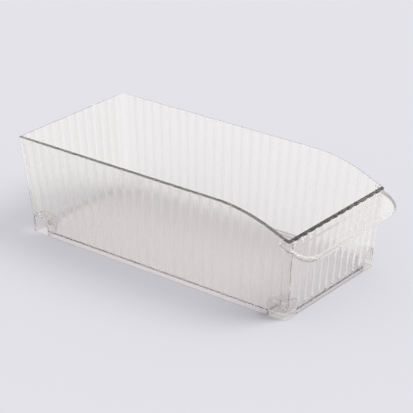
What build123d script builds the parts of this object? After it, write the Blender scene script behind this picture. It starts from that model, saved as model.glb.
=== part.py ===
"""Clear fridge bin: a fluted wall shell on a skirted floor, with corner feet and a front pull."""
import os
from math import cos, radians, sin, tan

from build123d import *

# Base, in millimetres: a raised floor with a vertical skirt round it
base_length = 303
base_width = 142
skirt_height = 6
skirt_thickness = 2.6
floor_thickness = 2.4

# Wall shell: panels of convex flutes outside, plain drafted faces inside; drafts in degrees
rim_height = 100
front_rim_height = 80
wall_thickness = 2.4
flute_depth = 0.8
flute_pitch = 10.9
step_ledge = 0.3
panel_stand = 0.3
corner_land = 6
outer_corner_radius = 2.5
inner_corner_radius = 1.5
side_draft = 3.9
back_draft = 6.25
front_draft = 5.2

# Swoop of the rim down to the front: an arc, then a straight slope
swoop_angle = 22
swoop_arc_share = 0.57

# Corner feet: hollow posts, open below, with rounded inner edges
foot_length = 19.5
foot_width = 18
foot_height = 18.3
foot_wall = 2.2
foot_round = 6
foot_corner_round = 1.5
foot_hollow_chamfer = 2.2

# Front pull: a shelf that runs on down the slope of the rim and bends level, with a turned-down lip
# and a deeper finger tab, set off by a gap at each end
pull_drop = 4.5
pull_reach = 20.5
pull_run = 11.8
pull_side_stand = 1.6
pull_corner_radius = 19.5
pull_thickness = 2.8
pull_edge_round = 1.8
ear_length = 10
lip_thickness = 2.6
lip_depth = 4.6
tab_width = 117
tab_depth = 5.2
tab_radius = 1.5
tab_gap = 4.5

# Cuts run past the faces that they cut by this much
overrun = 5

# A face counts as a top face when its normal points upward by more than this
upward_share = 0.7

half_width = base_width / 2
half_length = base_length / 2
swoop_slope = tan(radians(swoop_angle))


def crest_reach(z):
    """Distances of the flute crests from the middle at height z: side, back and front."""
    rise = z - skirt_height
    side = half_width - step_ledge + rise * tan(radians(side_draft))
    back = half_length - step_ledge + rise * tan(radians(back_draft))
    front = half_length - step_ledge + rise * tan(radians(front_draft))
    return side, back, front


# Where the pull leaves the front wall, how far it reaches, and where it bends
pull_root_height = front_rim_height - pull_drop
pull_root = crest_reach(pull_root_height)[2]
pull_front = pull_root + pull_reach
pull_half_width = crest_reach(pull_root_height)[0] + pull_side_stand
pull_bend = (pull_reach - pull_run) / sin(radians(swoop_angle))
bend_height = pull_root_height - pull_run * swoop_slope
pull_front_height = bend_height - pull_bend * (1 - cos(radians(swoop_angle)))

# The whole part stands with the middle of its box over the origin
frame_shift = (pull_front - crest_reach(rim_height)[1]) / 2


def drafted_block(inset, bottom, top, corner_radius):
    """Block inside the four leaning wall planes, which are inset from the flute crests."""
    side, back, front = crest_reach(skirt_height)
    block = Pos(0, 0, bottom) * Box(base_length, 2 * base_length, top - bottom,
                                    align=(Align.CENTER, Align.CENTER, Align.MIN))
    walls = [(Vector(1, 0), side, side_draft), (Vector(-1, 0), side, side_draft),
             (Vector(0, 1), back, back_draft), (Vector(0, -1), front, front_draft)]
    for outward, reach, draft in walls:
        foot_line = outward * (reach - inset) + Vector(0, 0, skirt_height)
        normal = outward * cos(radians(draft)) - Vector(0, 0, sin(radians(draft)))
        block = split(block, bisect_by=Plane(foot_line, z_dir=normal), keep=Keep.BOTTOM)
    corners = block.edges().filter_by(lambda edge: edge.bounding_box().size.Z > rim_height / 2)
    return fillet(corners, corner_radius)


def flute_outlines(z):
    """Outlines of the four fluted panels at height z, with as many flutes at every height."""
    side, back, front = (reach - flute_depth for reach in crest_reach(z))
    end_count = round((base_width - 2 * corner_land) / flute_pitch)
    side_count = round((base_length - 2 * corner_land) / flute_pitch)
    corners = [Vector(side, -front), Vector(side, back), Vector(-side, back), Vector(-side, -front)]
    directions = [Vector(0, 1), Vector(-1, 0), Vector(0, -1), Vector(1, 0)]
    counts = [side_count, end_count, side_count, end_count]
    outlines = []
    for index, corner in enumerate(corners):
        outward = directions[index - 1]
        start = corner + directions[index] * corner_land
        end = corners[(index + 1) % len(corners)] - directions[index] * corner_land
        step = (end - start) / counts[index]
        edges = []
        for flute in range(counts[index]):
            valley = start + step * flute
            crown = valley + step / 2 + outward * flute_depth
            edges.append(ThreePointArc(valley, crown, valley + step))
        sunk = outward * wall_thickness / 2
        edges += Polyline(end, end - sunk, start - sunk, start).edges()
        outlines.append(Pos(0, 0, z) * Wire(edges))
    return outlines


def wall_block():
    """The walls filled solid, a little taller than the rim: a plain core and four fluted panels."""
    top = rim_height + overrun
    block = drafted_block(flute_depth + panel_stand, skirt_height, top, outer_corner_radius)
    for lower, upper in zip(flute_outlines(skirt_height), flute_outlines(top)):
        block += Solid.make_loft([lower, upper], ruled=True)
    return block


def wall_cavity():
    """The space inside the walls, running past both ends."""
    return drafted_block(flute_depth + wall_thickness, skirt_height - overrun,
                         rim_height + 2 * overrun, inner_corner_radius)


def above_rim():
    """Everything above the rim: level at the back, then the swoop down to the front."""
    side, back, _ = crest_reach(rim_height + overrun)
    front = crest_reach(front_rim_height)[2]
    drop = rim_height - front_rim_height
    radius = swoop_arc_share * drop / (1 - cos(radians(swoop_angle)))
    slope_start = -front + (1 - swoop_arc_share) * drop / swoop_slope
    level_end = slope_start + radius * sin(radians(swoop_angle))
    half_turn = radians(swoop_angle / 2)
    arc_middle = (level_end - radius * sin(half_turn), rim_height - radius * (1 - cos(half_turn)))
    arc_end = (slope_start, rim_height - swoop_arc_share * drop)
    slope_end = (-front - 2 * overrun, front_rim_height - 2 * overrun * swoop_slope)
    ceiling = rim_height + 2 * overrun
    far_back = back + overrun
    outline = [
        ThreePointArc((level_end, rim_height), arc_middle, arc_end),
        Polyline(arc_end, slope_end, (slope_end[0], ceiling), (far_back, ceiling),
                 (far_back, rim_height), (level_end, rim_height)),
    ]
    return extrude(Plane.YZ * make_face(outline), side + overrun, both=True)


def foot_block(width, length, height):
    """Plain block with its outer upright edge on the Z axis, reaching inward from there."""
    return Box(width, length, height, align=(Align.MAX, Align.MAX, Align.MIN))


def inner_edges(block):
    """Edges of a foot block that face the middle of the bin: an upright and two along the top."""
    uprights = block.edges().filter_by(Axis.Z)
    top_edges = block.edges().group_by(Axis.Z)[-1]
    return [uprights.sort_by_distance((0, 0, 0))[-1],
            top_edges.sort_by(Axis.X)[0], top_edges.sort_by(Axis.Y)[0]]


def foot_form(outward=0, downward=0):
    """Outside of the foot in the corner at +X +Y, or stretched outward and downward."""
    block = foot_block(foot_width + outward, foot_length + outward, foot_height + downward)
    block = fillet(inner_edges(block), foot_round)
    if not outward:
        outer_upright = block.edges().filter_by(Axis.Z).sort_by_distance((0, 0, 0))[0]
        block = fillet(outer_upright, foot_corner_round)
    return Pos(half_width + outward, half_length + outward, -downward) * block


def foot_hollow():
    """Space inside the foot at +X +Y, running out below."""
    block = foot_block(foot_width - 2 * foot_wall, foot_length - 2 * foot_wall,
                       foot_height - foot_wall + overrun)
    block = chamfer(inner_edges(block), foot_hollow_chamfer)
    return Pos(half_width - foot_wall, half_length - foot_wall, -overrun) * block


def in_corner(shape, right, back):
    """The shape from the corner at +X +Y, moved to the corner that is asked for."""
    if not right:
        shape = mirror(shape, about=Plane.YZ)
    if not back:
        shape = mirror(shape, about=Plane.XZ)
    return shape


def corner_notches():
    """Room for the feet in the four corners, open to the outside and below."""
    notch = foot_form(outward=overrun, downward=overrun)
    return [in_corner(notch, right, back) for right in (False, True) for back in (False, True)]


def base_tray():
    """Raised floor plate with a vertical skirt below its edge, notched for the feet."""
    slab = extrude(Rectangle(base_width, base_length), skirt_height)
    recess_plan = Rectangle(base_width - 2 * skirt_thickness, base_length - 2 * skirt_thickness)
    recess = extrude(recess_plan, skirt_height - floor_thickness)
    return slab - recess - corner_notches()


def wall_shell(block):
    """Four fluted walls in one ring, with the swooping rim, standing on the base and the feet."""
    return block - wall_cavity() - above_rim() - corner_notches()


def foot(right, back):
    """Hollow corner post."""
    return in_corner(foot_form() - foot_hollow(), right, back)


def pull_strip(upper, lower):
    """Band between two depths under the top of the pull, across its whole width."""
    slope_run = ear_length + overrun
    slope_top = (slope_run - pull_root, pull_root_height + slope_run * swoop_slope)
    half_turn = radians(swoop_angle / 2)
    bend_middle = (pull_bend * sin(half_turn) - pull_front,
                   pull_front_height + pull_bend * (1 - cos(half_turn)))
    tip = -pull_front - overrun
    top_line = [slope_top, (-pull_root - pull_run, bend_height), bend_middle,
                (-pull_front, pull_front_height), (tip, pull_front_height)]
    high, low = ([(y, z - depth) for y, z in top_line] for depth in (upper, lower))
    outline = [
        Line(high[0], high[1]), ThreePointArc(high[1], high[2], high[3]), Line(high[3], high[4]),
        Line(high[4], low[4]),
        Line(low[4], low[3]), ThreePointArc(low[3], low[2], low[1]), Line(low[1], low[0]),
        Line(low[0], high[0]),
    ]
    return extrude(Plane.YZ * make_face(outline), pull_half_width + overrun, both=True)


def pull_prism(inset=0, backward=0):
    """Upright prism on the plan of the pull, inset at the ends and front, or stretched backward."""
    length = pull_reach + ear_length - inset + backward
    plan = Rectangle(2 * (pull_half_width - inset), length, align=(Align.CENTER, Align.MIN))
    front_corners = plan.vertices().group_by(Axis.Y)[0]
    plan = fillet(front_corners, pull_corner_radius - inset)
    return extrude(Pos(0, inset - pull_front) * plan, rim_height)


def tab_gaps():
    """Upright blocks through the lip at the two ends of the finger tab."""
    block = Box(tab_gap, pull_reach, rim_height, align=(Align.MIN, Align.CENTER, Align.MIN))
    block = Pos(tab_width / 2, -pull_front) * block
    return [block, mirror(block, about=Plane.YZ)]


def finger_tab():
    """The deeper middle of the front lip, with rounded lower corners."""
    height = tab_depth - pull_thickness
    plate = Rectangle(tab_width, height, align=(Align.CENTER, Align.MIN))
    plate = fillet(plate.vertices().group_by(Axis.Y)[0], tab_radius)
    plate = Pos(0, pull_front_height - tab_depth) * plate
    slab = extrude(Plane.XZ * plate, pull_front + overrun)
    return slab & (pull_prism() - pull_prism(lip_thickness, overrun))


def front_pull(block):
    """Curved shelf on the front wall, with a lip turned down along its ends and front."""
    shelf = pull_strip(0, lip_depth) & pull_prism()
    upper_edges = shelf.faces().filter_by(lambda face: face.normal_at().Z > upward_share).edges()
    end_edges = upper_edges.filter_by(lambda edge: abs(edge.center().X) > pull_half_width / 2)
    front_edge = upper_edges.sort_by(Axis.Y)[0]
    shelf = fillet(end_edges + [front_edge], pull_edge_round)
    hollow_plan = pull_prism(lip_thickness, overrun) + tab_gaps()
    hollow = pull_strip(pull_thickness, lip_depth + overrun) & hollow_plan
    return shelf - hollow + finger_tab() - block


def build():
    """All nodes by name, in the frame of the part."""
    block = wall_block()
    nodes = {
        "base_tray": base_tray(),
        "wall_shell": wall_shell(block),
        "front_pull": front_pull(block),
    }
    for back, end_name in ((False, "front"), (True, "back")):
        for right, side_name in ((False, "left"), (True, "right")):
            nodes[f"{end_name}_{side_name}_foot"] = foot(right, back)
    return {name: Pos(0, frame_shift, 0) * shape for name, shape in nodes.items()}


os.makedirs("parts", exist_ok=True)
for node_name, node_shape in build().items():
    export_step(node_shape, f"parts/{node_name}.step")
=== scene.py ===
"""Looks of the clear fridge bin: fluted walls, floor tray, corner feet and front pull."""
from math import asin, cos, pi, radians, sin, sqrt, tan

import bmesh
import bpy
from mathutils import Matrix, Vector


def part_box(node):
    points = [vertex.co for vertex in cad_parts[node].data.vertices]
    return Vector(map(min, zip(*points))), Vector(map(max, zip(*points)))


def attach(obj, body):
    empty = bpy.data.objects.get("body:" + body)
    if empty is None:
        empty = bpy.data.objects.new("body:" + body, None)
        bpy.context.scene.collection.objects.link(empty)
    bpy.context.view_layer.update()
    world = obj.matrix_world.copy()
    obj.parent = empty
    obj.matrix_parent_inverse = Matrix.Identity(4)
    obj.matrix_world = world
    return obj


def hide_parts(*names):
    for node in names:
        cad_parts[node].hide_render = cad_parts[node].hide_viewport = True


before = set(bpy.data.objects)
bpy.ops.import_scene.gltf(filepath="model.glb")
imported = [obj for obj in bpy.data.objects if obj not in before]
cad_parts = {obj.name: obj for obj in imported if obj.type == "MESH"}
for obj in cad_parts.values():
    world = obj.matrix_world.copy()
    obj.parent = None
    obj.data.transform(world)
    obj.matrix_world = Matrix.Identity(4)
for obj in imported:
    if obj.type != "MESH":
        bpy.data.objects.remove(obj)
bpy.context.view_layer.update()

# Walls and rim: sizes that the boxes of the frame don't give, in metres and degrees
front_rim_height = 0.080
swoop_angle = 22
swoop_arc_share = 0.57
wall_thickness = 0.0024
step_ledge = 0.0003
corner_land = 0.006
outer_corner_radius = 0.0025
inner_corner_radius = 0.0015
rim_bevel = 22
slope_bevel_share = 0.46
rim_round = 0.0003
rim_band = 0.0005

# Flutes: flats between rounded grooves, deeper on the front wall
side_flutes = 27
end_flutes = 12
front_flute_depth = 0.00065
flute_depth = 0.0002
side_groove_share = 0.4
end_groove_share = 0.8

# Floor tray, and the rounding of moulded edges
skirt_thickness = 0.0026
floor_thickness = 0.0024
soft_edge = 0.0005
soft_edge_share = 1 / 3
low_front_edge = 0.0015

# Corner feet
foot_wall = 0.0022
foot_round = 0.006
front_foot_corner_round = 0.004
back_foot_corner_round = 0.0015

# The walls rise onto a back foot from this far inside its inner faces
foot_seat_inset = 0.0012

# Front pull: a shelf that bends level, with a turned-down lip and a deeper finger tab
pull_drop = 0.0045
pull_run = 0.0118
pull_corner_radius = 0.0195
pull_thickness = 0.0028
pull_edge_round = 0.0018
ear_length = 0.010
lip_thickness = 0.0026
lip_depth = 0.0046
tab_half_width = 0.0585
tab_depth = 0.0052
tab_radius = 0.0015
tab_gap = 0.0045

# Neighbouring pieces run into each other by this much, so that light passes from one to the next
overlap = 0.0002

# Points this close count as lying in one plane
tolerance = 0.0002

# Width of a sudden change of depth in the lip
seam = 0.00001

# How finely curves are cut
groove_steps = 5
corner_steps = 8
round_steps = 3
shelf_steps = 6
edge_segments = 2

# Passes that find where a leaning wall meets the rim
rim_passes = 5

# Shading of the pieces: edges sharper than this angle stay sharp, and large faces rule the normals
sharp_angle = 42
normal_weight = 100

# Tints of the plastic for the eye and for the lamps
wall_tints = ((1, 0.993, 0.985, 1), (0.79, 0.79, 0.795, 1))
pull_tints = ((0.99, 0.98, 0.97, 1), (0.97, 0.965, 0.96, 1))
# The tray's tint for the eye is the plastic's warm tone, darkened further as painted shade on the floor
# inside the bin
tray_tint_and_painted_shade = ((0.925, 0.885, 0.895, 1), (0.95, 0.94, 0.94, 1))
foot_tints = ((0.95, 0.94, 0.94, 1), (0.95, 0.94, 0.94, 1))
# Dark tint that is painted shade on the rim tops of the sides and back and on the lower edge of the pull's
# lip
painted_edge_shade_tints = ((0.25, 0.23, 0.225, 1), (0.9, 0.9, 0.9, 1))
# Dark tint that is painted shade: contact shadow along the step line, the skirt bottoms and the foot
# bottoms
painted_base_shade_tints = ((0.14, 0.126, 0.122, 1), (0.9, 0.9, 0.9, 1))
# Near-black tint that is painted shade on the front rim, its band, round and bevel
front_painted_edge_shade_tints = ((0.045, 0.041, 0.04, 1), (0.9, 0.9, 0.9, 1))

# Least and greatest roughness of the plastic
polished_roughness = (0.04, 0.06)
glossy_roughness = (0.06, 0.1)
even_roughness = (0.1, 0.14)
uneven_roughness = (0.1, 0.2)
soft_roughness = (0.12, 0.16)
hazy_roughness = (0.27, 0.31)

# How clear the plastic is, and how it bends light: fully, or less where its lines are to stay soft
clearness = 0.99
refraction = 1.5
pull_refraction = 1.25
foot_refraction = 1.2
corner_refraction = 1.15
faint_refraction = 1.08
joint_refraction = 1.03

# Faint waviness of the plastic
wave_scale = 60
wave_detail = 2
wave_strength = 0.015
wave_depth = 0.0006

# Studio: floor paper seen directly and through plastic, sky as a light and as seen, and a soft sun
floor_reach = 20
paper_tint = (0.775, 0.768, 0.815, 1)
paper_tint_through = (0.89, 0.88, 0.885, 1)
sky_color = (1, 1, 1, 1)
sky_light = 0.5
sky_seen = 0.82
sun_light = 0.5
sun_height = 50
sun_turn = 38
sun_spread = 35
light_bounces = 48

# Camera of the photograph, in metres, degrees and millimetres
camera_place = (-1.131158, -0.889088, 0.698262)
camera_dip = 24.39
camera_turn = -51.82
camera_lens = 145.8
camera_sensor = 36
camera_range = 100

# The frame gives the driving sizes; pieces are made about the middle of the base
tray_low, tray_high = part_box("base_tray")
wall_low, wall_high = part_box("wall_shell")
pull_low, pull_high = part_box("front_pull")
foot_low, foot_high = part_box("back_right_foot")
base_middle = Vector((0, (tray_low.y + tray_high.y) / 2, 0))
half_width = tray_high.x
half_length = tray_high.y - base_middle.y
step_height = tray_high.z
rim_height = wall_high.z
foot_size = foot_high - foot_low
wall_rise = rim_height - step_height
side_lean = (wall_high.x - half_width + step_ledge) / wall_rise
back_lean = (wall_high.y - base_middle.y - half_length + step_ledge) / wall_rise
front_lean = (base_middle.y - wall_low.y - half_length + step_ledge) / (front_rim_height - step_height)
swoop_slope = tan(radians(swoop_angle))


def crest_reach(z):
    """Distances of the flute crests from the middle at height z: side, back and front."""
    rise = z - step_height
    side = half_width - step_ledge + rise * side_lean
    back = half_length - step_ledge + rise * back_lean
    front = half_length - step_ledge + rise * front_lean
    return side, back, front


# Where the pull leaves the front wall, how far it reaches, and where it bends
pull_root_height = front_rim_height - pull_drop
pull_root = crest_reach(pull_root_height)[2]
pull_front = base_middle.y - pull_low.y
pull_half_width = pull_high.x
pull_bend = (pull_front - pull_root - pull_run) / sin(radians(swoop_angle))
bend_height = pull_root_height - pull_run * swoop_slope
pull_front_height = bend_height - pull_bend * (1 - cos(radians(swoop_angle)))
gap_end = tab_half_width + tab_gap

# Lower edge of the lip: distances in from its face, and heights
soft_middle = soft_edge * soft_edge_share
lip_outline = ((0, soft_edge), (soft_middle, soft_middle), (soft_edge, 0),
               (lip_thickness - soft_edge, 0), (lip_thickness - soft_middle, soft_middle),
               (lip_thickness, soft_edge))


def quarter_turns(steps):
    """Angles from nothing to a quarter turn, in even steps."""
    return [pi / 2 * step / steps for step in range(steps + 1)]


def add_piece(name, points, faces, material, *nodes, looks_and_painted_shade=()):
    """New piece that stands for these nodes: smooth curves, sharp corners, other materials on some faces,
    some of them dark painted shade.
    """
    mesh = bpy.data.meshes.new(name)
    mesh.from_pydata([point + base_middle for point in points], [], faces)
    form = bmesh.new()
    form.from_mesh(mesh)
    bmesh.ops.recalc_face_normals(form, faces=form.faces)
    form.to_mesh(mesh)
    form.free()
    mesh.shade_smooth()
    mesh.set_sharp_from_angle(angle=radians(sharp_angle))
    piece = bpy.data.objects.new(name, mesh)
    bpy.context.scene.collection.objects.link(piece)
    weighted = piece.modifiers.new("even_normals", "WEIGHTED_NORMAL")
    weighted.keep_sharp = True
    weighted.weight = normal_weight
    mesh.materials.append(material)
    for slot, (look, indices) in enumerate(looks_and_painted_shade, 1):
        mesh.materials.append(look)
        for index in indices:
            mesh.polygons[index].material_index = slot
    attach(piece, "root")
    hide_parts(*nodes)
    return piece


def loop_faces(columns, size, closed):
    """Quads between neighbouring loops of equal size, with end faces where the row isn't closed."""
    faces = []
    for column in range(columns if closed else columns - 1):
        here = column * size
        there = (column + 1) % columns * size
        for index in range(size):
            after = (index + 1) % size
            faces.append((here + index, here + after, there + after, there + index))
    if not closed:
        faces.append(tuple(range(size)))
        faces.append(tuple(range((columns - 1) * size, columns * size)))
    return faces


def flute_shape(groove_share):
    """Places along one flute and the lift of its face there, as shares: out of a groove, along and down."""
    rise = []
    for step in range(groove_steps + 1):
        share = step / groove_steps
        rise.append((share * groove_share / 2, (1 - cos(pi * share)) / 2))
    fall = [(1 - share, lift_share) for share, lift_share in reversed(rise[1:])]
    return rise + fall


def wall_section(z):
    """Outer point, inner point and lift round the walls at height z, as many at every height."""
    side, back, front = crest_reach(z)
    side -= flute_depth
    back -= flute_depth
    front -= front_flute_depth
    corners = [Vector((side, -front, 0)), Vector((side, back, 0)),
               Vector((-side, back, 0)), Vector((-side, -front, 0))]
    directions = [Vector((0, 1, 0)), Vector((-1, 0, 0)), Vector((0, -1, 0)), Vector((1, 0, 0))]
    side_form = (side_flutes, side_groove_share, flute_depth)
    forms = [side_form, (end_flutes, end_groove_share, flute_depth),
             side_form, (end_flutes, end_groove_share, front_flute_depth)]
    columns = []
    for index, corner in enumerate(corners):
        along = directions[index]
        outward = directions[index - 1]
        next_corner = corners[(index + 1) % len(corners)]
        start = corner + along * corner_land
        end = next_corner - along * corner_land
        count, groove_share, depth = forms[index]
        for flute in range(count):
            for share, lift_share in flute_shape(groove_share):
                on_wall = start.lerp(end, (flute + share) / count)
                columns.append((on_wall + outward * depth * lift_share,
                                on_wall - outward * wall_thickness, lift_share))
        columns.append((end, end - outward * wall_thickness, 0))
        diagonal = along + outward
        outer_centre = next_corner - diagonal * outer_corner_radius
        inner_centre = next_corner - diagonal * (wall_thickness + inner_corner_radius)
        for turn in quarter_turns(corner_steps):
            ray = outward * cos(turn) + along * sin(turn)
            columns.append((outer_centre + ray * outer_corner_radius,
                            inner_centre + ray * inner_corner_radius, 0))
    return columns


def rim_at(y):
    """Height of the rim: level at the back, then an arc and a straight slope down to the front."""
    front = crest_reach(front_rim_height)[2]
    drop = rim_height - front_rim_height
    radius = swoop_arc_share * drop / (1 - cos(radians(swoop_angle)))
    slope_start = (1 - swoop_arc_share) * drop / swoop_slope - front
    level_end = slope_start + radius * sin(radians(swoop_angle))
    if y >= level_end:
        return rim_height
    if y >= slope_start:
        return rim_height - radius + sqrt(radius ** 2 - (level_end - y) ** 2)
    return front_rim_height + (y + front) * swoop_slope


def wall_seat(x, y):
    """Height that a wall stands on: the step line, or the rounded top of a foot at the back corners."""
    into_x = abs(x) - half_width + foot_size.x
    into_y = abs(y) - half_length + foot_size.y
    into = min(into_x, into_y) - foot_seat_inset
    if into <= 0 or y < 0:
        return step_height
    if into >= foot_round:
        return foot_size.z
    return foot_size.z - foot_round + sqrt(foot_round ** 2 - (foot_round - into) ** 2)


def rim_arc(rim, inward, radius):
    """Quarter round from the face of a wall onto its rim."""
    return [rim + inward * radius * (1 - cos(turn)) - Vector((0, 0, radius * (1 - sin(turn))))
            for turn in quarter_turns(round_steps)]


def wall_loop(outer_line, inner_line):
    """Closed loop up the outside of a wall, over its bevelled rim and down the inside."""
    def at(line, z):
        point = line[0].lerp(line[1], (z - step_height) / wall_rise)
        return Vector((point.x, point.y, z))

    def rim_point(line):
        z = rim_height
        for _ in range(rim_passes):
            z = rim_at(at(line, z).y)
        return at(line, z)

    bottom = wall_seat(*outer_line[0].xy) - overlap
    inner_rim = rim_point(inner_line)
    outer_rim = rim_point(outer_line)
    across = Vector((inner_rim.x - outer_rim.x, inner_rim.y - outer_rim.y, 0))
    rise = rim_at(inner_rim.y + across.length) - inner_rim.z
    drop = across.length * tan(radians(rim_bevel)) + rise * slope_bevel_share
    outer_rim = at(outer_line, min(outer_rim.z, inner_rim.z - drop))
    across.normalize()
    loop = [at(outer_line, bottom), at(outer_line, outer_rim.z - rim_band)]
    loop += rim_arc(outer_rim, across, rim_round)
    loop.append(inner_rim)
    loop += [at(inner_line, inner_rim.z - rim_band), at(inner_line, bottom)]
    return loop


def wall_shell():
    """Four fluted walls in one ring, with the swooping rim."""
    lower = wall_section(step_height)
    upper = wall_section(rim_height)
    loops = [wall_loop((low[0], high[0]), (low[1], high[1])) for low, high in zip(lower, upper)]
    points = [point for loop in loops for point in loop]
    size = len(loops[0])
    faces = loop_faces(len(loops), size, True)
    base_front = -crest_reach(step_height)[2]
    bevel_row = 2 + round_steps
    side_rim = []
    front_rim = []
    smooth = []
    grooves = []
    corners = []
    for index, point in enumerate(points):
        column, row = divmod(index, size)
        on_end = abs(point.x) < crest_reach(point.z)[0] - corner_land
        lift = lower[column][2]
        next_lift = lower[(column + 1) % len(lower)][2]
        # Rim tops are drawn in dark painted shade: every rim row on the front, the bevel row on the other
        # walls
        if point.y < base_front and 0 < row <= bevel_row:
            front_rim.append(index)
        elif row == bevel_row:
            side_rim.append(index)
        elif row == 0 and lift != next_lift and not (on_end and point.y < 0):
            grooves.append(index)
        elif lift == next_lift == 0:
            corners.append(index)
        elif on_end:
            smooth.append(index)
    add_piece("fluted_walls", points, faces, wall_plastic, "wall_shell",
              looks_and_painted_shade=((painted_edge_shade_plastic, side_rim), (front_painted_edge_shade_plastic, front_rim), (smooth_plastic, smooth),
                        (groove_plastic, grooves), (corner_plastic, corners)))


def notch_plan(right, back):
    """Edge of the floor round the notch for a foot, from the end of one skirt to the end of the next."""
    inner_x = half_width - foot_size.x
    inner_y = half_length - foot_size.y
    plan = [(half_width, inner_y), (half_width - skirt_thickness, inner_y)]
    for turn in quarter_turns(corner_steps):
        plan.append((inner_x + foot_round * (1 - sin(turn)), inner_y + foot_round * (1 - cos(turn))))
    plan += [(inner_x, half_length - skirt_thickness), (inner_x, half_length)]
    if right != back:
        plan.reverse()
    return [(right * x, back * y) for x, y in plan]


def base_tray():
    """Floor plate with a skirt along each side, notched for the feet."""
    ceiling = step_height - floor_thickness
    points = []
    faces = []
    top_ring = []
    under_ring = []
    strip_ends = []
    skirt_bottoms = []

    def put(x, y, z):
        points.append(Vector((x, y, z)))
        return len(points) - 1

    for right, back in ((1, 1), (-1, 1), (-1, -1), (1, -1)):
        plan = notch_plan(right, back)
        tops = [put(x, y, step_height) for x, y in plan]
        unders = [put(x, y, ceiling) for x, y in plan[1:-1]]
        bottoms = [put(x, y, 0) for x, y in (plan[0], plan[1], plan[-2], plan[-1])]
        for index in range(len(unders) - 1):
            faces.append((tops[index + 1], tops[index + 2], unders[index + 1], unders[index]))
        faces.append((bottoms[0], bottoms[1], unders[0], tops[1], tops[0]))
        faces.append((bottoms[-1], bottoms[-2], unders[-1], tops[-2], tops[-1]))
        top_ring += tops
        under_ring += unders
        strip_ends.append((tops, unders, bottoms))
    for index, (tops, unders, bottoms) in enumerate(strip_ends):
        next_tops, next_unders, next_bottoms = strip_ends[(index + 1) % len(strip_ends)]
        faces.append((tops[-1], next_tops[0], next_bottoms[0], bottoms[-1]))
        # The skirt bottoms are drawn in dark painted shade
        skirt_bottoms.append(len(faces))
        faces.append((bottoms[-1], next_bottoms[0], next_bottoms[1], bottoms[-2]))
        faces.append((bottoms[-2], next_bottoms[1], next_unders[0], unders[-1]))
    faces += [tuple(top_ring), tuple(under_ring)]
    # The tray is drawn in that darker tint, part warm tone and part painted shade
    piece = add_piece("floor_tray", points, faces, tray_painted_shade_plastic, "base_tray",
                      looks_and_painted_shade=((painted_base_shade_plastic, skirt_bottoms),))
    soften(piece)


def soften(piece):
    """Rounded long outer edges, as a moulding has, in the piece's second material: dark painted shade along
    the step and bottom lines.
    """
    mesh = piece.data
    weights = mesh.attributes.new("bevel_weight_edge", "FLOAT", "EDGE")
    for edge in mesh.edges:
        start, end = (mesh.vertices[index].co - base_middle for index in edge.vertices)
        on_side = min(abs(start.x), abs(end.x)) > half_width - tolerance
        on_end = min(abs(start.y), abs(end.y)) > half_length - tolerance
        level = abs(start.z - end.z) < tolerance
        low_front = max(start.y, end.y) < tolerance - half_length and max(start.z, end.z) < tolerance
        width = low_front_edge if low_front else soft_edge
        weights.data[edge.index].value = width / low_front_edge if level and (on_side or on_end) else 0
    bevel = piece.modifiers.new("soft_edges", "BEVEL")
    bevel.width = low_front_edge
    # The bevels take the dark painted shade
    bevel.material = 1
    bevel.segments = edge_segments
    bevel.limit_method = "WEIGHT"
    piece.modifiers.move(len(piece.modifiers) - 1, 0)


def foot_plan(wall, setback, corner_round):
    """Plan of a foot as distances in from its outer faces, with its inner faces set back."""
    length = foot_size.y + overlap - wall - setback
    width = foot_size.x + overlap - wall - setback
    inner_radius = foot_round - wall - setback
    turns = quarter_turns(corner_steps)
    plan = [(wall + corner_round * (1 - cos(turn)), wall + corner_round * (1 - sin(turn)))
            for turn in turns]
    plan.append((width, wall))
    for turn in turns:
        plan.append((width - inner_radius * (1 - cos(turn)), length - inner_radius * (1 - sin(turn))))
    plan.append((wall, length))
    return plan


def foot_rows(wall, corner_round):
    """Plans of a foot with their heights: straight up, then rounded over on the inner sides."""
    radius = foot_round - wall
    shoulder = foot_size.z - foot_round
    rows = [(0, foot_plan(wall, 0, corner_round))]
    for turn in quarter_turns(corner_steps):
        setback = radius * (1 - cos(turn))
        rows.append((shoulder + radius * sin(turn), foot_plan(wall, setback, corner_round)))
    return rows


def corner_foot(node):
    """Hollow post, open below, with rounded inner edges; fainter and rounder at the front."""
    node_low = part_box(node)[0]
    right = 1 if node_low.x > 0 else -1
    back = 1 if node_low.y > base_middle.y else -1
    material = foot_plastic if back > 0 else faint_plastic
    corner_round = back_foot_corner_round if back > 0 else front_foot_corner_round
    rows = list(reversed(foot_rows(0, corner_round))) + foot_rows(foot_wall, soft_edge)
    points = [Vector((right * (half_width - x), back * (half_length - y), z))
              for z, plan in rows for x, y in plan]
    size = len(rows[0][1])
    bottom = (len(rows) // 2 - 1) * size
    # The bottom ring of the foot is drawn in dark painted shade
    add_piece(f"{node}_post", points, loop_faces(len(rows), size, False), material, node,
              looks_and_painted_shade=((painted_base_shade_plastic, range(bottom, bottom + size)),))


def pull_top(y):
    """Height of the top of the pull: the slope of the rim, bending level towards the front."""
    if y >= -pull_root - pull_run:
        return pull_root_height + (y + pull_root) * swoop_slope
    return pull_front_height + pull_bend - sqrt(pull_bend ** 2 - (y + pull_front) ** 2)


def lip_at(x):
    """Depth of the front lip: a deeper tab with rounded corners, a gap beside it, then the plain lip."""
    inside = tab_half_width - abs(x)
    if inside < -tab_gap:
        return lip_depth
    if inside < 0:
        return pull_thickness + soft_edge
    if inside >= tab_radius:
        return tab_depth
    return tab_depth - tab_radius + sqrt(tab_radius ** 2 - (tab_radius - inside) ** 2)


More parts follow.
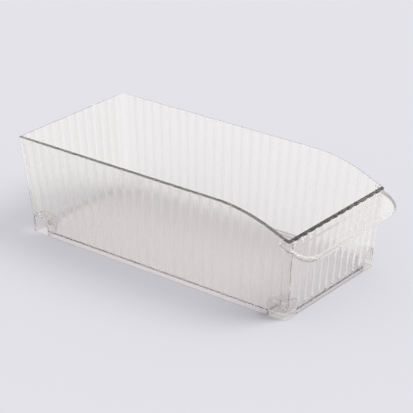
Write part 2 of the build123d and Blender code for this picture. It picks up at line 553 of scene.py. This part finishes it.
def pull_path():
    """Stations round the right half of the pull: edge point, outward direction, root and lip depth."""
    side, _, front = (reach - front_flute_depth - overlap for reach in crest_reach(pull_front_height))
    centre = Vector((pull_half_width - pull_corner_radius, pull_corner_radius - pull_front, 0))
    wall_corner = Vector((side - outer_corner_radius, outer_corner_radius - front, 0))

    def root(x, y):
        offset = Vector((x, y, 0)) - wall_corner
        if offset.x > 0 > offset.y and offset.length > outer_corner_radius:
            offset.length = outer_corner_radius
        return wall_corner + offset

    def station(x):
        if x <= centre.x:
            return Vector((x, -pull_front, 0)), Vector((0, -1, 0)), root(x, -front), lip_at(x)
        turn = asin((x - centre.x) / pull_corner_radius)
        ray = Vector((sin(turn), -cos(turn), 0))
        on_wall = root(centre.x + (side - centre.x) * sin(turn), -front)
        return centre + ray * pull_corner_radius, ray, on_wall, lip_at(x)

    places = {tab_half_width + seam, gap_end, gap_end + seam}
    places |= {centre.x * step / shelf_steps for step in range(shelf_steps + 1)}
    places |= {tab_half_width - tab_radius * (1 - sin(turn)) for turn in quarter_turns(corner_steps)}
    places |= {centre.x + pull_corner_radius * sin(turn) for turn in quarter_turns(2 * corner_steps)[1:-1]}
    stations = [station(x) for x in sorted(places)]
    ear_end = ear_length - pull_root
    for step in range(shelf_steps + 1):
        y = centre.y + (ear_end - centre.y) * step / shelf_steps
        stations.append((Vector((pull_half_width, y, 0)), Vector((1, 0, 0)), root(side, max(y, -front)),
                         lip_depth))
    return stations


def pull_loop(edge, outward, root, depth):
    """Closed loop over the top of the shelf, round its edge, down the lip and back underneath."""
    top = []
    under = []
    for step in range(shelf_steps + 1):
        share = step / shelf_steps
        on_top = root.lerp(edge - outward * pull_edge_round, share)
        top.append(Vector((on_top.x, on_top.y, pull_top(on_top.y))))
        below = root.lerp(edge - outward * lip_thickness, share)
        under.append(Vector((below.x, below.y, pull_top(below.y) - pull_thickness)))
    rounded = []
    for turn in quarter_turns(round_steps)[1:]:
        spot = edge - outward * pull_edge_round * (1 - sin(turn))
        rounded.append(Vector((spot.x, spot.y, pull_top(spot.y) - pull_edge_round * (1 - cos(turn)))))
    lip_bottom = pull_top(edge.y) - depth
    lip = []
    for inset, lift in lip_outline:
        spot = edge - outward * inset
        lip.append(Vector((spot.x, spot.y, lip_bottom + lift)))
    return top + rounded + lip + list(reversed(under))


def front_pull():
    """Curved shelf on the front wall, with its lip and finger tab."""
    right_half = pull_path()
    mirrored = [(Vector((-edge.x, edge.y, 0)), Vector((-outward.x, outward.y, 0)),
                 Vector((-root.x, root.y, 0)), depth) for edge, outward, root, depth in right_half[1:]]
    loops = [pull_loop(*station) for station in list(reversed(mirrored)) + right_half]
    points = [point for loop in loops for point in loop]
    size = len(loops[0])
    faces = loop_faces(len(loops), size, False)
    first_lip_row = shelf_steps + 1 + round_steps
    lip_rows = range(first_lip_row, first_lip_row + len(lip_outline) - 1)
    joint_rows = (0, size - 2, size - 1)
    edges = []
    joint = []
    for index, face in enumerate(faces[:-2]):
        row = index % size
        if row in joint_rows:
            joint.append(index)
        # The lip's lower edge outside the tab gap is drawn in dark painted shade
        elif row in lip_rows and abs(points[face[0]].x) > gap_end:
            edges.append(index)
    add_piece("pull", points, faces, flat_plastic, "front_pull",
              looks_and_painted_shade=((lip_painted_shade_plastic, edges), (joint_plastic, joint)))


def node_of(owner, kind, **inputs):
    """New shader node of a material or world, with these input values."""
    node = owner.node_tree.nodes.new(kind)
    for name, value in inputs.items():
        node.inputs[name.replace("_", " ")].default_value = value
    return node


def larger_of(owner, first, second):
    """Output of a new node that gives the larger of two values."""
    node = node_of(owner, "ShaderNodeMath")
    node.operation = "MAXIMUM"
    owner.node_tree.links.new(first, node.inputs[0])
    owner.node_tree.links.new(second, node.inputs[1])
    return node.outputs["Value"]


def clear_plastic(name, tints, roughness, bending=refraction):
    """Clear moulded plastic in the given tints, with a trace of haze and a faint waviness; lamps shine
    straight through. The dark tints make painted shade.
    """
    tint, lamp_tint = tints
    smoothest, roughest = roughness
    material = bpy.data.materials.new(name)
    material.use_nodes = True
    material.node_tree.nodes.clear()
    link = material.node_tree.links.new
    output = node_of(material, "ShaderNodeOutputMaterial")
    shader = node_of(material, "ShaderNodeBsdfPrincipled", Base_Color=tint, IOR=bending,
                     Transmission_Weight=clearness)
    place = node_of(material, "ShaderNodeTexCoord")
    waves = node_of(material, "ShaderNodeTexNoise", Scale=wave_scale, Detail=wave_detail)
    bump = node_of(material, "ShaderNodeBump", Strength=wave_strength, Distance=wave_depth)
    gloss = node_of(material, "ShaderNodeMapRange", To_Min=smoothest, To_Max=roughest)
    link(place.outputs["Object"], waves.inputs["Vector"])
    link(waves.outputs["Fac"], bump.inputs["Height"])
    link(waves.outputs["Fac"], gloss.inputs["Value"])
    link(bump.outputs["Normal"], shader.inputs["Normal"])
    link(gloss.outputs["Result"], shader.inputs["Roughness"])
    lamp_through = node_of(material, "ShaderNodeBsdfTransparent", Color=lamp_tint)
    ray = node_of(material, "ShaderNodeLightPath")
    mix = node_of(material, "ShaderNodeMixShader")
    link(larger_of(material, ray.outputs["Is Shadow Ray"], ray.outputs["Is Diffuse Ray"]), mix.inputs[0])
    link(shader.outputs["BSDF"], mix.inputs[1])
    link(lamp_through.outputs["BSDF"], mix.inputs[2])
    link(mix.outputs["Shader"], output.inputs["Surface"])
    return material


def floor_paper():
    """Matt pale paper, a little lighter when seen through the plastic."""
    paper = bpy.data.materials.new("floor_paper")
    paper.use_nodes = True
    matt = paper.node_tree.nodes["Principled BSDF"]
    matt.inputs["Roughness"].default_value = 1
    matt.inputs["Specular IOR Level"].default_value = 0
    ray = node_of(paper, "ShaderNodeLightPath")
    tone = node_of(paper, "ShaderNodeMixRGB", Color1=paper_tint, Color2=paper_tint_through)
    paper.node_tree.links.new(ray.outputs["Is Transmission Ray"], tone.inputs["Fac"])
    paper.node_tree.links.new(tone.outputs["Color"], matt.inputs["Base Color"])
    return paper


def studio_floor(scene):
    """Wide sheet of paper that the bin stands on."""
    mesh = bpy.data.meshes.new("floor")
    corners = [(x * floor_reach, y * floor_reach, 0) for x, y in ((-1, -1), (1, -1), (1, 1), (-1, 1))]
    mesh.from_pydata(corners, [], [tuple(range(len(corners)))])
    mesh.materials.append(floor_paper())
    floor = bpy.data.objects.new("floor", mesh)
    scene.collection.objects.link(floor)


def studio_sky(scene):
    """White surroundings, brighter to the eye and in the plastic than as a light."""
    world = bpy.data.worlds.new("studio")
    scene.world = world
    world.use_nodes = True
    backdrop = world.node_tree.nodes["Background"]
    backdrop.inputs["Color"].default_value = sky_color
    ray = node_of(world, "ShaderNodeLightPath")
    level = node_of(world, "ShaderNodeMapRange", To_Min=sky_light, To_Max=sky_seen)
    seen = larger_of(world, ray.outputs["Is Camera Ray"], ray.outputs["Is Glossy Ray"])
    seen = larger_of(world, seen, ray.outputs["Is Transmission Ray"])
    world.node_tree.links.new(seen, level.inputs["Value"])
    world.node_tree.links.new(level.outputs["Result"], backdrop.inputs["Strength"])


def soft_light(scene):
    """Broad sun from the right, without glints in the plastic."""
    sun = bpy.data.objects.new("soft_light", bpy.data.lights.new("soft_light", "SUN"))
    sun.data.energy = sun_light * pi / sin(radians(sun_height))
    sun.data.angle = radians(sun_spread)
    sun.rotation_euler = (pi / 2 - radians(sun_height), 0, radians(sun_turn))
    scene.collection.objects.link(sun)
    sun.visible_glossy = False
    sun.visible_transmission = False


def photo_camera(scene):
    """Camera of the photograph."""
    camera = bpy.data.objects.new("camera", bpy.data.cameras.new("camera"))
    camera.data.sensor_width = camera_sensor
    camera.data.lens = camera_lens
    camera.data.clip_end = camera_range
    camera.location = camera_place
    camera.rotation_euler = (pi / 2 - radians(camera_dip), 0, radians(camera_turn))
    scene.collection.objects.link(camera)
    scene.camera = camera


def studio():
    """Pale floor and sky, soft light and the camera, with enough bounces for many layers of plastic."""
    scene = bpy.context.scene
    scene.view_settings.view_transform = "Standard"
    scene.cycles.max_bounces = light_bounces
    scene.cycles.transmission_bounces = light_bounces
    scene.cycles.glossy_bounces = light_bounces
    studio_floor(scene)
    studio_sky(scene)
    soft_light(scene)
    photo_camera(scene)


wall_plastic = clear_plastic("fluted_plastic", wall_tints, soft_roughness)
groove_plastic = clear_plastic("groove_plastic", wall_tints, hazy_roughness)
corner_plastic = clear_plastic("corner_plastic", wall_tints, soft_roughness, corner_refraction)
smooth_plastic = clear_plastic("smooth_plastic", wall_tints, polished_roughness)
flat_plastic = clear_plastic("flat_plastic", pull_tints, even_roughness, pull_refraction)
# Tray plastic: warm tone plus painted shade in its darker tint
tray_painted_shade_plastic = clear_plastic("tray_painted_shade_plastic", tray_tint_and_painted_shade, glossy_roughness)
foot_plastic = clear_plastic("foot_plastic", foot_tints, even_roughness, foot_refraction)
faint_plastic = clear_plastic("faint_plastic", foot_tints, even_roughness, faint_refraction)
# Dark painted shade on the rim tops of the sides and back
painted_edge_shade_plastic = clear_plastic("painted_edge_shade_plastic", painted_edge_shade_tints, uneven_roughness)
joint_plastic = clear_plastic("joint_plastic", pull_tints, even_roughness, joint_refraction)
# Dark painted shade on the lower edge of the pull's lip
lip_painted_shade_plastic = clear_plastic("lip_painted_shade_plastic", painted_edge_shade_tints, even_roughness, pull_refraction)
# Dark painted shade along the step line and the bottoms of skirts and feet
painted_base_shade_plastic = clear_plastic("painted_base_shade_plastic", painted_base_shade_tints, uneven_roughness)
# Darkest painted shade, on the front rim
front_painted_edge_shade_plastic = clear_plastic("front_painted_edge_shade_plastic", front_painted_edge_shade_tints, uneven_roughness)
wall_shell()
base_tray()
front_pull()
for foot_node in ("front_left_foot", "front_right_foot", "back_left_foot", "back_right_foot"):
    corner_foot(foot_node)
studio()
